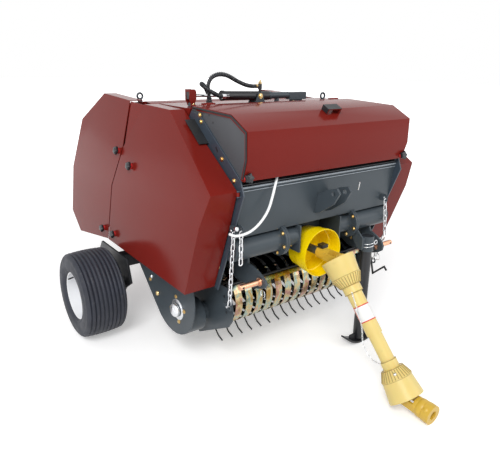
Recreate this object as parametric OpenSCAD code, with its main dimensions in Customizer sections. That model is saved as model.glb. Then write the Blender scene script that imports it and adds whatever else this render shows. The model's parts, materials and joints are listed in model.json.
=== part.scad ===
/* [Overall] */
// Height of the fold that runs round the side covers
ridge_z = 700; // [690:1:710]
// Half width over the side covers at the fold
cover_x = 582; // [570:1:595]
// How far the covers lean inwards for each millimetre above the fold
cover_lean = 0.2; // [0.15:0.01:0.22]
// Thickness of the folded cover sheets
sheet = 3; // [2:0.5:4]

/* [Bale chamber] */
// Outer face of the front chamber's side walls, from the middle
wall_x = 440; // [436:1:444]
// Thickness of the chamber's side walls
wall_t = 6; // [5:1:6]
// Radius of the circle that the roller centres lie on
roller_ring = 280; // [275:1:285]
// Radius of one roller
roller_r = 35; // [30:1:36]

/* [Wheels] */
// Outer radius of the tyre
tyre_r = 202; // [198:1:202]
// Width of the tyre
tyre_w = 195; // [180:1:197]
// Distance from the middle to the tyre's outer side
tyre_x = 812; // [805:1:820]
// Distance of the wheels' axis behind the covers' front corner
axle_y = 752; // [740:1:760]

/* [Pickup] */
// Radius over the stripper bands
band_r = 124; // [120:1:126]
// Width of one stripper band
band_w = 34; // [28:1:36]
// Distance between tines along the reel
tine_pitch = 53.4; // [50:0.1:54]

/* [Drive shaft] */
// Radius of the guard's bell mouths
bell_r = 70; // [66:1:70]
// Radius of the guard's outer tube
guard_r = 32; // [31:0.5:33]

/* [Hidden] */

// places in the side view are [distance behind the covers' front corner, height above the ground]
pivot = [690, 884];
pivot_r = 12;
chamber_mid = [700, 715];
front_roller_angles = [112, 140, 168, 196, 252, 280];
rear_roller_angles = [15, 45, 75, 315, 345];
cover_inner = 446;
cover_top = 1110;
reel_mid = [265, 258];
band_mid = [200, 305];
tube_mid = [20, 580];
tube_r = 45;
pin_mid = [-49, 455];
pin_r = 11;
pin_shoulder = 349;
pin_end = 440;
link_hole = [-110, 769];
drive_z = 494;
stand_mid = [262, -56];
stand_r = 25;
hood_axis = [294, 1090];
cover_pin = [449, -45];
rear_cover_pin = [449, 1362];
lever_axis = [-385, 370, 1086];
rod_pin = [-385, 370, 1119];
barrel_pin = [-50, 370, 1111];
// the rod's eye is wider than the lever's pin, because the pin swings on an arc
lever_pin_r = 4.6;
rod_eye_bore = 6.4;

// the drive shaft runs from joint_1 on the gearbox to joint_2 near the ground
joint_1 = [0, -123, 494];
joint_2 = [25, -502, 46];
yoke_len = 117;
yoke_r = 38;
// the yoke's free end droops this many degrees, down to the ground
yoke_droop = 3.6;
rear_reach = 1368;
shaft_len = norm(joint_2 - joint_1);
// distance from the covers' front corner back to the middle of the whole machine
front_reach = joint_2[1] - yoke_len * cos(yoke_droop) - yoke_r * sin(yoke_droop);
y_mid = (rear_reach + front_reach) / 2;

// routes of the hoses and of the twine tube, as [x, distance behind the covers' corner, height]
hose_r = 8;
barrel_hose_route = [[-52, 370, 1151], [-76, 370, 1151], [-100, 368, 1154], [-124, 366, 1160],
    [-148, 363, 1168], [-172, 360, 1177], [-196, 356, 1187], [-220, 353, 1196], [-244, 351, 1201],
    [-266, 349, 1201], [-286, 347, 1196], [-302, 346, 1188], [-313, 345, 1175], [-318, 345, 1158],
    [-318, 345, 1140], [-315, 345, 1122], [-310, 345, 1104], [-308, 345, 1090], [-308, 345, 1082]];
rear_hose_route = [[-252, 338, 1115], [-268, 336, 1117], [-285, 332, 1122], [-304, 327, 1130],
    [-322, 325, 1138], [-334, 332, 1148], [-339, 348, 1157], [-335, 366, 1162], [-324, 384, 1163],
    [-308, 400, 1159], [-291, 412, 1149], [-277, 420, 1133], [-268, 424, 1115], [-264, 426, 1097],
    [-264, 426, 1082]];
tube_route_r = 5;
twine_route = [[-240, -12, 866], [-253, -25, 862], [-265, -37, 856], [-275, -45, 845],
    [-282, -49, 831], [-288, -51, 815], [-295, -53, 796], [-303, -55, 776], [-312, -57, 755],
    [-323, -58, 735], [-337, -58, 716], [-354, -58, 699], [-374, -58, 684], [-396, -58, 673],
    [-419, -58, 667], [-443, -58, 665], [-467, -58, 667], [-482, -58, 673], [-492, -58, 679]];

function unit(v) = v / norm(v);
function turned(v) = [-v[1], v[0]];
function place(a, r) = r * [cos(a), sin(a)];
// the point that lies d to the left of an open line of points at its place i
function beside(p, i, d) =
    let (n = len(p) - 1,
        u = unit(p[min(i + 1, n)] - p[min(i, n - 1)]),
        v = unit(p[max(i, 1)] - p[max(i - 1, 0)]),
        a = turned(u), b = turned(v))
    p[i] + d * (a + b) / (1 + a * b);

// a bent sheet of thickness t to the left of an open line of points
module bent(p, t) {
    polygon(concat(p, [for (i = [len(p) - 1:-1:0]) beside(p, i, t)]));
}

// moves from the covers' front corner to the middle of the machine
module machine() {
    translate([0, -y_mid, 0]) children();
}

// stands a side-view outline up and makes it run from x0 to x1
module across(x0, x1) {
    translate([x0, 0, 0]) rotate([90, 0, 90]) linear_extrude(x1 - x0) children();
}

// a round bar across the machine from x0 to x1 with its middle at p = [y, z]
module bar_across(p, r, x0, x1) {
    translate([x0, p[0], p[1]]) rotate([0, 90, 0]) cylinder(r=r, h=x1 - x0, $fn=48);
}

// a round bar that points forwards from p over a length of h
module bar_ahead(p, r, h) {
    translate(p) rotate([90, 0, 0]) cylinder(r=r, h=h, $fn=48);
}

// an upright bar with its foot at p
module upright(p, r, h) {
    translate(p) cylinder(r=r, h=h, $fn=48);
}

module both_sides() {
    children();
    mirror([1, 0, 0]) children();
}

// turns +Z to the direction from a to b, with its start at a
module along(a, b) {
    d = b - a;
    translate(a) rotate([0, acos(d[2] / norm(d)), atan2(d[1], d[0])]) children();
}

// a round tube of radius r that is swept along a route, with n sides
module swept(route, r, n) {
    last = len(route) - 1;
    rings = [for (i = [0:last])
        let (d = unit(route[min(i + 1, last)] - route[max(i - 1, 0)]),
            side = unit(cross(d, abs(d[2]) > 0.9 ? [0, 1, 0] : [0, 0, 1])),
            up = cross(side, d))
        for (k = [0:n - 1]) route[i] + r * (cos(k * 360 / n) * side + sin(k * 360 / n) * up)];
    walls = [for (i = [0:last - 1], k = [0:n - 1])
        [i * n + k, i * n + (k + 1) % n, (i + 1) * n + (k + 1) % n, (i + 1) * n + k]];
    ends = [[for (k = [n - 1:-1:0]) k], [for (k = [0:n - 1]) last * n + k]];
    polyhedron(points=rings, faces=concat(walls, ends));
}

// a ring that lies in a plane square to Y, with its middle at the origin
module eye(r, bore, depth) {
    rotate([90, 0, 0]) difference() {
        cylinder(r=r, h=depth, center=true, $fn=48);
        cylinder(r=bore, h=depth + 2, center=true, $fn=48);
    }
}

/* side covers */
module cover_section(inset) {
    x = cover_x - inset;
    polygon([[x, 200], [x, ridge_z], [x - cover_lean * (cover_top - ridge_z), cover_top],
        [cover_inner, cover_top], [cover_inner, 200]]);
}

module lengthwise() {
    translate([0, 2000, 0]) rotate([90, 0, 0]) linear_extrude(3000) children();
}

front_line = [[534, 1077], [321, 1073], [-38, 820], [0, 700], [109, 403]];
front_seam = [[846, 410.5], [753, 700], [686, 884]];
rear_line = [[1249, 341], [1357, 436], [1276, 700], [1220, 952], [969, 1095], [680, 1082]];
rear_seam = [[694, 884], [761, 700], [854, 412]];

module side_cover(line, seam) {
    intersection() {
        across(cover_inner, 700) polygon(concat(line, seam));
        difference() {
            lengthwise() cover_section(0);
            lengthwise() translate([-sheet, 0]) cover_section(0);
        }
    }
    intersection() {
        across(cover_inner, 700) bent(line, sheet);
        lengthwise() cover_section(0.5);
    }
}

hinge_eye_r = 6;
hinge_bore = 3.3;
hinge_pin_r = 3;

// an eye round a cover's upright hinge pin between two heights, with its tongue to the cover at y = tail
module hinge_eye(p, z0, z1, tail) {
    difference() {
        union() {
            upright([p[0], p[1], z0], hinge_eye_r, z1 - z0);
            translate([p[0] - 2, min(p[1], tail), z0]) cube([6, abs(tail - p[1]), z1 - z0]);
        }
        upright([p[0], p[1], z0 - 1], hinge_bore, z1 - z0 + 2);
    }
}

// a cover's upright hinge pin between two ears, each with an arm of the given outline
module hinge_pin(p, z0, z1, arm) {
    upright([p[0], p[1], z0 - 4], hinge_pin_r, z1 - z0 + 8);
    for (z = [z0 - 5, z1 + 1]) {
        upright([p[0], p[1], z], 5, 4);
        translate([0, 0, z]) linear_extrude(4) polygon(arm);
    }
}

module front_cover() {
    machine() {
        side_cover(front_line, front_seam);
        hinge_eye(cover_pin, 806, 820, -32);
    }
}

module rear_cover() {
    machine() {
        side_cover(rear_line, rear_seam);
        hinge_eye(rear_cover_pin, 430, 442, 1354);
    }
}

module front_cover_right() {
    color([0.45, 0.1, 0.1]) front_cover();
}

module front_cover_left() {
    color([0.45, 0.1, 0.1]) mirror([1, 0, 0]) front_cover();
}

module rear_cover_right() {
    color([0.45, 0.1, 0.1]) rear_cover();
}

module rear_cover_left() {
    color([0.45, 0.1, 0.1]) mirror([1, 0, 0]) rear_cover();
}

/* front chamber */
wall_bottom = [[843, 405], [136, 400]];

module side_walls() {
    color([0.45, 0.12, 0.12]) machine() both_sides() {
        across(wall_x - wall_t, wall_x)
            polygon(concat([[280, 1078], [530, 1078], [600, 1045], [660, 1030], [725, 905], [725, 865],
                [755, 700]], wall_bottom, [[20, 826], [300, 1040]]));
        bar_across(pivot, pivot_r, wall_x - 20, wall_x + 5);
    }
}

module front_posts() {
    color([0.22, 0.26, 0.31]) machine() both_sides() {
        across(wall_x - wall_t, wall_x)
            polygon([[-66, 808], [-44, 862], [215, 1062], [275, 1070], [300, 1040], [20, 826], [136, 400],
                [96, 388]]);
        hinge_pin(cover_pin, 806, 820, [[wall_x, -50], [449, -50], [449, -44], [wall_x, -44]]);
    }
}

panel_line = [[60, 832], [-34, 832], [-6, 632], [60, 632]];

module front_panel() {
    color([0.33, 0.36, 0.38]) machine() difference() {
        across(-(wall_x - wall_t), wall_x - wall_t) bent(panel_line, 4);
        both_sides() bar_across(tube_mid, 67, 190, 214);
    }
}

module twine_box() {
    cheek = wall_x - 12;
    color([0.4, 0.4, 0.41]) machine() {
        both_sides() across(cheek, wall_x - wall_t)
            polygon([[280, 1077], [16, 1074], [-74, 1027], [-76, 932], [-52, 882], [-31, 834], [29, 834],
                [298, 1040]]);
        across(-cheek, cheek) bent([[-38, 838], [40, 838], [230, 1000], [255, 1066]], 3);
    }
}

module front_roof() {
    side = wall_x - wall_t;
    color([0.5, 0.15, 0.13]) machine() {
        across(-side, side) bent([[592, 1066], [534, 1078], [283, 1078]], sheet);
        across(-(side - 6), side - 6) bent([[283, 1078], [262, 1060]], sheet);
        both_sides() {
            bar_across(hood_axis, hinge_pin_r, 320, 380);
            for (x = [322, 372])
                across(x, x + 6) polygon([[287, 1077], [310, 1077], [301, 1095], [287, 1095]]);
        }
    }
}

hood_line = [[285, 1091], [14, 1081], [-81, 1032], [-83, 931], [-62, 858]];

module hood_lid() {
    side = wall_x - 2;
    color([0.45, 0.1, 0.1]) machine() {
        across(-side, side) bent(hood_line, sheet);
        both_sides() {
            across(side - 2, side) polygon(concat([for (i = [1:4]) hood_line[i]], [[-46, 862], [-66, 932],
                [-64, 1022], [20, 1066], [240, 1074], [240, 1089]]));
            across(329, 371) difference() {
                union() {
                    translate(hood_axis) circle(r=hinge_eye_r, $fn=48);
                    polygon([[280, 1088], [294, 1086], [294, 1092], [280, 1090.6]]);
                }
                translate(hood_axis) circle(r=hinge_bore, $fn=48);
            }
        }
        hood_handle();
    }
}

// a strap of flat bar that stands on the hood's front slope as a bridge
module hood_handle() {
    translate([22, -4, 1072]) rotate([27.5, 0, 0]) difference() {
        translate([-36, -20, -2]) cube([72, 34, 26]);
        translate([-31, -30, -3]) cube([62, 60, 23]);
    }
}

module roller(a, end) {
    bar_across(chamber_mid + place(a, roller_ring), roller_r, -end, end);
}

module front_rollers() {
    color([0.25, 0.26, 0.28]) machine() for (a = front_roller_angles) {
        roller(a, wall_x - 20);
        bar_across(chamber_mid + place(a, roller_ring), 15, -(wall_x - wall_t), wall_x - wall_t);
    }
}

/* drive */
module gearbox() {
    color([0.2, 0.22, 0.25]) machine() {
        translate([-70, 82, 450]) cube([140, 138, 160]);
        bar_ahead([0, 82, drive_z], 62, 7);
        bar_ahead([0, 82, drive_z], 17.5, 102);
        both_sides() translate([70, 100, 540]) cube([42, 80, 60]);
    }
}

// one end of the cross tube as [outer radius, from x, to x]
tube_steps = [[38, 120, 192], [66, 192, 201.5], [66, 202.5, 212], [60, 201, 203], [tube_r, 212, 434]];

module cross_tube() {
    color([0.3, 0.33, 0.37]) machine() both_sides() {
        for (s = tube_steps) bar_across(tube_mid, s[0], s[1], s[2]);
        across(112, 120) polygon([[-20, 515], [190, 515], [190, 630], [-20, 630]]);
    }
}

module input_guard() {
    color([0.95, 0.8, 0.1]) machine() translate([0, 75, drive_z]) rotate([90, 0, 0]) rotate_extrude($fn=96)
        polygon([[30, 0], [90, 0], [95, 55], [99, 57], [101, 100], [104, 102], [104, 115], [101, 115],
            [98, 102], [96, 60], [92, 58], [87, 3], [30, 3]]);
}

module input_yoke() {
    color([0.8, 0.65, 0.15]) machine() {
        bar_ahead([0, -20, drive_z], 26, 65);
        difference() {
            both_sides() translate([21, -134, drive_z - 15]) cube([9, 64, 30]);
            bar_across([joint_1[1], drive_z], 8.2, -40, 40);
        }
    }
}

/* hitch */
plate_bottom = [[-64, 430], [-41, 422], [-8, 412], [110, 412], [150, 430]];
right_plate = concat([[190, 445], [178, 520], [106, 578], [39, 572], [3, 552], [-12, 521], [-47, 507],
    [-80, 486], [-90, 468], [-86, 446]], plate_bottom);
left_plate = concat([[178, 488], [118, 497], [62, 498], [60, 545], [32, 545], [30, 502], [15, 502],
    [-34, 490], [-62, 477], [-80, 466], [-86, 453], [-80, 439]], plate_bottom);

module hitch_plates() {
    color([0.33, 0.36, 0.38]) machine() for (plate = [[333, right_plate], [-343, left_plate]])
        across(plate[0], plate[0] + 10) difference() {
            polygon(plate[1]);
            translate(tube_mid) circle(r=tube_r, $fn=48);
            translate(pin_mid) circle(r=pin_r, $fn=48);
        }
}

module hitch_pins() {
    color([0.72, 0.45, 0.33]) machine() both_sides() {
        bar_across(pin_mid, 9, 318, 333);
        bar_across(pin_mid, 10.8, 333, 343);
        bar_across(pin_mid, 17, 343, pin_shoulder);
        bar_across(pin_mid, pin_r, pin_shoulder, pin_end);
        translate([323, pin_mid[0], pin_mid[1]]) rotate([0, 90, 0]) cylinder(r=16, h=10, $fn=6);
    }
}

module top_link_bracket() {
    color([0.33, 0.36, 0.38]) machine() both_sides() across(27, 37) difference() {
        polygon([[20, 757], [-34, 755], [-78, 781], [-125, 794], [-142, 776], [-113, 727], [-41, 677],
            [20, 657]]);
        polygon(panel_line);
        translate(link_hole) circle(r=9.7, $fn=48);
    }
}

/* running gear */
module axle_beam() {
    beam = [[axle_y - 30, 300], [axle_y + 30, 300], [axle_y + 30, 360], [axle_y - 30, 360]];
    color([0.2, 0.21, 0.23]) machine() {
        across(-565, 565) polygon(beam);
        both_sides() {
            across(wall_x - wall_t, wall_x) polygon([[692, 360], [812, 360], [830, 404.9], [652, 403.6]]);
            across(565, 575)
                polygon([[624, 252], [660, 365], [960, 365], [996, 317], [919, 238], [827, 151],
                    [746, 148], [687, 208]]);
            bar_across([axle_y, tyre_r], 30, 575, 590);
            bar_across([axle_y, tyre_r], 12.5, 590, 770);
        }
    }
}

module wheel_place(side) {
    machine() translate([side * (tyre_x - tyre_w), axle_y, tyre_r]) mirror([side > 0 ? 0 : 1, 0, 0])
        rotate([0, 90, 0]) children();
}

module tyre() {
    rotate_extrude($fn=96)
        polygon([[112, 14], [118, 4], [150, 0], [tyre_r - 16, 3], [tyre_r - 4, 12], [tyre_r, 26],
            [tyre_r, tyre_w - 26], [tyre_r - 4, tyre_w - 12], [tyre_r - 16, tyre_w - 3], [150, tyre_w],
            [118, tyre_w - 4], [112, tyre_w - 14]]);
}

module rim() {
    difference() {
        rotate_extrude($fn=96)
            polygon([[13, 20], [34, 20], [34, 88], [56, 88], [107, 98], [107, 16], [111.7, 14],
                [111.7, tyre_w - 14], [107, tyre_w - 16], [107, 106], [56, 96], [34, 96], [34, 150],
                [13, 150]]);
        for (a = [0:72:288]) rotate([0, 0, a]) translate([80, 0, 80]) cylinder(r=10, h=40, $fn=32);
    }
}

module wheel_left_tyre() {
    color([0.08, 0.09, 0.13]) wheel_place(-1) tyre();
}

module wheel_right_tyre() {
    color([0.08, 0.09, 0.13]) wheel_place(1) tyre();
}

module wheel_left_rim() {
    color([0.9, 0.9, 0.92]) wheel_place(-1) rim();
}

module wheel_right_rim() {
    color([0.9, 0.9, 0.92]) wheel_place(1) rim();
}

/* stand */
module stand_sleeve() {
    x = stand_mid[0];
    y = stand_mid[1];
    color([0.3, 0.33, 0.36]) machine() {
        difference() {
            union() {
                upright([x, y, 455], stand_r + 5, 70);
                translate([212, -66, 470]) cube([24, 20, 52]);
                across(212, 218)
                    polygon([[-70, 470], [-70, 525], [-30, 560], [0, 595], [20, 595], [0, 530],
                        [-42, 470]]);
            }
            upright([x, y, 450], stand_r + 0.3, 80);
            bar_across(tube_mid, tube_r, 200, 240);
        }
    }
}

module stand_leg() {
    x = stand_mid[0];
    y = stand_mid[1];
    color([0.12, 0.13, 0.15]) machine() {
        difference() {
            upright([x, y, 14], stand_r, 511);
            translate([x - 30, y, 250]) rotate([0, 90, 0]) cylinder(r=5, h=60, $fn=32);
        }
        translate([x, y + 30, 0]) intersection() {
            translate([0, 0, 150]) rotate([90, 0, 0]) difference() {
                cylinder(r=150, h=60, $fn=96);
                translate([0, 0, -1]) cylinder(r=142, h=62, $fn=96);
            }
            translate([-85, -70, 0]) cube([170, 80, 60]);
        }
        across(x - 60, x + 60) polygon([[y - 4, 7], [y + 4, 7], [y + 4, 40], [y - 4, 40]]);
    }
}

/* pickup */
side_outline = [[61, 392], [40, 300], [46, 257], [70, 223], [295, 98], [330, 120], [488, 212], [488, 388]];

module pickup_sides() {
    color([0.33, 0.36, 0.38]) machine() {
        both_sides() across(400, 405) difference() {
            polygon(side_outline);
            translate(reel_mid) circle(r=16, $fn=32);
        }
        both_sides() across(405, wall_x - wall_t) polygon([[180, 392], [470, 392], [470, 398], [180, 398]]);
        both_sides() across(wall_x - wall_t, wall_x)
            polygon([[180, 392], [470, 392], [470, 402.3], [180, 400.3]]);
        both_sides() across(400, 405) polygon([[180, 388], [470, 388], [470, 398], [180, 398]]);
    }
}

// the open line of one band: from the carrier behind the chamber's mouth over the top, down round
// the front and back to the low carrier, touching the circle of band_r from top_start to low_end
top_start = 97.1;
low_end = 262.1;
arc_step = (low_end - top_start) / 22;
band_line = concat([[400, 455]],
    [for (i = [0:22]) band_mid + place(top_start + i * arc_step, band_r)],
    [[270, 168], [455, 232]]);

module band(x) {
    across(x - band_w / 2, x + band_w / 2) bent(band_line, 3);
}

module stripper_bands() {
    color([0.62, 0.56, 0.42]) machine() {
        for (i = [-6.5:6.5]) band(i * tine_pitch);
        across(-(wall_x - wall_t), wall_x - wall_t)
            polygon([[398, 450], [418, 450], [418, 462], [398, 462]]);
        across(-400, 400) polygon([[453, 228], [470, 228], [470, 240], [453, 240]]);
        across(-400, 400) translate(band_mid)
            polygon([place(150, band_r), place(150, band_r + 12), place(141, band_r + 12),
                place(141, band_r)]);
    }
}

module chain_guard() {
    color([0.3, 0.33, 0.36]) machine() {
        across(-520, -516) hull() {
            translate([331, 314]) circle(r=190, $fn=32);
            translate([600, 400]) circle(r=70, $fn=32);
        }
        bar_across([280, 250], 30, -532, -520);
        bar_across([256, 222], 72, -516, -wall_x);
        bar_across([256, 222], 40, -wall_x, -405);
    }
}

// the tine's line below its bar, as [forwards, down] from the reel's axis
tine_line = [[0, -70], [-58, -144], [-88, -159]];

module reel() {
    color([0.12, 0.12, 0.13]) machine() translate([0, reel_mid[0], reel_mid[1]]) {
        rotate([0, 90, 0]) cylinder(r=15.7, h=808, center=true, $fn=48);
        for (a = [-7, 113, 233]) rotate([a, 0, 0]) {
            translate([0, 0, -70]) rotate([0, 90, 0]) cylinder(r=8, h=790, center=true, $fn=32);
            for (x = [-390, 384]) translate([x, -12, -78]) cube([6, 24, 78]);
            for (i = [-7:7]) {
                translate([i * tine_pitch, 0, -70]) rotate([0, 90, 0])
                    cylinder(r=11, h=14, center=true, $fn=24);
                across(i * tine_pitch - 2.5, i * tine_pitch + 2.5) bent(tine_line, 5);
            }
        }
    }
}

/* tailgate */
tail_line = [[860, 405], [1246, 343], [1350, 436], [1270, 700], [1180, 935], [900, 1052], [684, 1076],
    [640, 1070], [610, 1060]];

module tailgate_walls() {
    outer = wall_x - 11;
    color([0.45, 0.12, 0.12]) machine() both_sides() difference() {
        across(outer - wall_t, outer)
            polygon(concat([for (i = [0:6]) beside(tail_line, i, sheet)],
                [[667, 905], [667, 865], [700, 850], [775, 700]]));
        bar_across(pivot, pivot_r + 0.3, 400, 450);
    }
}

module tailgate_skin() {
    color([0.5, 0.13, 0.12]) machine() {
        across(-(wall_x - 11), wall_x - 11) bent(tail_line, sheet);
        difference() {
            across(-(wall_x + 2), wall_x + 2) bent(tail_line, sheet);
            translate([-600, 0, 900]) cube([1200, 770, 300]);
        }
        both_sides() hinge_pin(rear_cover_pin, 430, 442,
            [[438, 1330], [443, 1330], [443, 1359], [449, 1359], [449, 1367], [438, 1367]]);
    }
}

module tailgate_rollers() {
    color([0.25, 0.26, 0.28]) machine() for (a = rear_roller_angles) {
        roller(a, wall_x - 30);
        bar_across(chamber_mid + place(a, roller_ring), 15, -(wall_x - 17), wall_x - 17);
    }
}

/* hydraulic latch */
module cylinder_mount() {
    x = barrel_pin[0];
    y = barrel_pin[1];
    color([0.4, 0.43, 0.47]) machine() {
        for (d = [21, -27]) translate([0, y + d + 6, 0]) rotate([90, 0, 0]) linear_extrude(6) difference() {
            polygon([[x - 28, 1078], [x + 28, 1078], [x + 10, 1124], [x - 10, 1124]]);
            translate([x, barrel_pin[2]]) circle(r=6.2, $fn=32);
        }
        translate([12, y, 1110]) rotate([0, 90, 0]) cylinder(r=18, h=14, $fn=48);
        translate([26, y, 1110]) rotate([0, 90, 0]) cylinder(r=14, h=104, $fn=48);
        translate([130, y - 16, 1090]) cube([101, 32, 32]);
        translate([150, y - 12, 1078]) cube([60, 24, 12]);
        translate([60, y - 12, 1078]) cube([8, 24, 20]);
        translate([lever_axis[0] - 7, y - 10, 1078]) cube([14, 20, 8]);
        bar_ahead([lever_axis[0], y + 10, lever_axis[2]], 7, 20);
        bar_ahead([lever_axis[0], y + 22, lever_axis[2]], 5, 44);
        for (end = [barrel_hose_route[18], rear_hose_route[14]]) upright([end[0], end[1], 1078], 12, 4);
    }
}

module cylinder_barrel() {
    color([0.07, 0.09, 0.16]) machine() {
        along(barrel_pin, rod_pin) difference() {
            union() {
                translate([0, 0, -60]) cylinder(r=19, h=250, $fn=48);
                translate([0, 0, 176]) cylinder(r=21, h=12, $fn=48);
            }
            translate([0, 0, 60]) cylinder(r=15, h=120, $fn=48);
            translate([0, 0, 170]) cylinder(r=6.3, h=30, $fn=48);
        }
        difference() {
            bar_ahead([barrel_pin[0], barrel_pin[1] + 30, barrel_pin[2]], 6, 60);
            bar_ahead([barrel_pin[0], barrel_pin[1] + 18, barrel_pin[2]], 10, 36);
        }
        upright([-34, 370, 1128], 6, 12);
        upright([-34, 370, 1138], 9, 22);
        bar_across([370, 1151], 7.5, -50, -34);
        bar_ahead([-225, 362, 1115], 7, 26);
        bar_across([338, 1115], 8, -250, -205);
    }
}

module cylinder_rod() {
    color([0.8, 0.8, 0.82]) machine() difference() {
        union() {
            along(barrel_pin, rod_pin) translate([0, 0, 100]) cylinder(r=6, h=230, $fn=48);
            along(barrel_pin, rod_pin) translate([0, 0, 96]) cylinder(r=14.7, h=12, $fn=48);
            bar_ahead([rod_pin[0], rod_pin[1] + 8, rod_pin[2]], 11, 16);
        }
        bar_ahead([rod_pin[0], rod_pin[1] + 9, rod_pin[2]], rod_eye_bore, 18);
    }
}

module latch_lever() {
    x = lever_axis[0];
    color([0.5, 0.15, 0.13]) machine() {
        for (d = [18, -12]) translate([0, lever_axis[1] + d, 0]) rotate([90, 0, 0]) linear_extrude(6)
            difference() {
                union() {
                    translate([x, lever_axis[2]]) circle(r=7, $fn=48);
                    polygon([[x - 7, 1086], [x + 7, 1086], [x + 15, 1104], [x + 15, 1138], [x + 9, 1144],
                        [x - 15, 1144], [x - 15, 1104]]);
                }
                translate([x, lever_axis[2]]) circle(r=5.2, $fn=48);
            }
        bar_ahead([x, lever_axis[1] + 12, rod_pin[2]], lever_pin_r, 24);
        translate([x - 15, lever_axis[1] - 12, 1134]) cube([8, 24, 10]);
    }
}

module lug_ring() {
    rotate([90, 0, 0]) rotate_extrude($fn=48) translate([13, 0]) circle(r=4.5, $fn=24);
}

module front_lug() {
    color([0.4, 0.45, 0.48]) machine() translate([327, 342, 1078]) {
        translate([0, 0, 25]) lug_ring();
        cylinder(r=11, h=9, $fn=48);
    }
}

module rear_lug() {
    color([0.4, 0.45, 0.48]) machine() difference() {
        translate([-410, 780, 1063]) {
            translate([0, 0, 29]) lug_ring();
            cylinder(r=11, h=13, $fn=48);
        }
        across(-430, -390) bent(tail_line, 20);
    }
}

/* chains */
link_pitch = 26;
link_wire = 5;
ear_t = 3.6;
ear_hole_r = 8.8;
// middles of the holes that the chains hang from, and of the pickup's holes that they carry
left_hole = [-453, -28, 675];
check_hole = [-426, -36, 675];
right_hole = [384, -36, 675];
left_foot = [-430, 30, 338];
right_foot = [430, 30, 338];
// middle of the end link that sits in a hole and points to the given place
function seated(hole, to) = hole + 20.5 * unit(to - hole);
right_bend = [407, -38, 500];
check_end = [-426, -36, 552.5];
// each leg takes an even number of links
chain_routes = [[seated(left_hole, left_foot), seated(left_foot, left_hole)],
    [seated(check_hole, check_end), check_end],
    [seated(right_hole, right_bend), right_bend, seated(right_foot, right_bend)]];

// tips +Z over to the direction d without a turn about it
module tipped(d) {
    rotate([-asin(d[1] / norm(d)), atan2(d[0], d[2]), 0]) children();
}

// a flat oval ring of the given half width whose round ends are 9 above and below its middle
module oval(half) {
    for (y = [-9, 9]) translate([0, y]) circle(r=half, $fn=24);
    translate([-half, -9]) square([2 * half, 18]);
}

module link() {
    rotate([90, 0, 0]) translate([0, 0, -link_wire / 2]) linear_extrude(link_wire) difference() {
        oval(9.5);
        oval(9.5 - link_wire);
    }
}

module lift_chains() {
    color([0.75, 0.76, 0.78]) machine() for (route = chain_routes, k = [1:len(route) - 1]) {
        a = route[k - 1];
        b = route[k];
        n = 2 * round(norm(b - a) / link_pitch / 2);
        for (i = [k > 1 ? 1 : 0:n]) translate(a + i / n * (b - a)) tipped(a - b)
            rotate([0, 0, 90 * (i % 2)]) link();
    }
}

// an ear plate of the given outline round a chain's hole
module ear(hole, outline) {
    across(hole[0] - ear_t / 2, hole[0] + ear_t / 2) difference() {
        polygon(outline);
        translate([hole[1], hole[2]]) circle(r=ear_hole_r, $fn=32);
    }
}

module chain_hangers() {
    color([0.4, 0.43, 0.47]) machine() {
        for (hole = [check_hole, right_hole])
            ear(hole, [[-14.5, 692], [-40, 692], [-50, 684], [-50, 661], [-10.2, 661]]);
        both_sides() {
            bar_across([62, 336], 8, 405, right_foot[0]);
            ear(right_foot, [[72, 328], [72, 344], [38, 350], [22, 350], [16, 344], [16, 330], [24, 324]]);
        }
        bar_across([-10, 682], 8, left_hole[0], -wall_x);
        ear(left_hole, [[-6, 676], [-6, 690], [-34, 690], [-42, 682], [-42, 661], [-20, 661]]);
    }
}

module barrel_hose() {
    color([0.12, 0.13, 0.15]) machine() swept(barrel_hose_route, hose_r, 10);
}

module rear_hose() {
    color([0.12, 0.13, 0.15]) machine() swept(rear_hose_route, hose_r, 10);
}

module twine_tube() {
    color([0.93, 0.93, 0.93]) machine() swept(twine_route, tube_route_r, 10);
}

module hooked_lever() {
    color([0.1, 0.1, 0.11]) machine() across(343, 349)
        bent([[-112, 352], [-100, 364], [-38, 308], [-20, 375], [0, 436]], 8);
}

/* drive shaft */
// one end of the guard from its open mouth down: bell, ribbed ring and collar round a bore
module bell(collar_r, bore) {
    rotate_extrude($fn=64) polygon([[bell_r, 0], [bell_r - 10, 78], [bell_r - 8, 78], [bell_r - 27, 119],
        [collar_r, 119], [collar_r, 150], [bore, 150], [bore, 76], [bell_r - 14, 72], [bell_r - 3, 0]]);
}

// the shaft's fork with its cross, inside the bell at from, and a bearing ring that carries the guard
module fork(from, to, ring_r) {
    along(from, to) {
        cube([26, 26, 26], center=true);
        rotate([0, 90, 0]) cylinder(r=8, h=56, center=true, $fn=32);
        for (x = [-30, 21]) translate([x, -14, -10]) cube([9, 28, 50]);
        translate([0, 0, 32]) cylinder(r=25, h=38, $fn=48);
        translate([0, 0, 60]) cylinder(r=22, h=60, $fn=48);
        translate([0, 0, 80]) cylinder(r=ring_r, h=30, $fn=48);
    }
    translate(from) rotate([0, 90, 0]) cylinder(r=8, h=60, center=true, $fn=32);
}

tube_start = 149;
outer_tube_end = 328;
inner_tube_start = 215;

module shaft_upper() {
    bore = guard_r - 3.5;
    color([0.85, 0.78, 0.5]) machine() along(joint_1, joint_2) {
        bell(guard_r + 6, bore);
        difference() {
            translate([0, 0, tube_start]) cylinder(r=guard_r, h=outer_tube_end - tube_start, $fn=64);
            translate([0, 0, tube_start - 9]) cylinder(r=bore, h=200, $fn=64);
        }
    }
}

module shaft_lower() {
    bore = guard_r - 7;
    color([0.85, 0.78, 0.5]) machine() along(joint_2, joint_1) {
        bell(guard_r + 1, bore);
        difference() {
            translate([0, 0, tube_start])
                cylinder(r=guard_r - 4, h=shaft_len - inner_tube_start - tube_start, $fn=64);
            translate([0, 0, tube_start - 9]) cylinder(r=bore, h=400, $fn=64);
        }
    }
}

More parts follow.
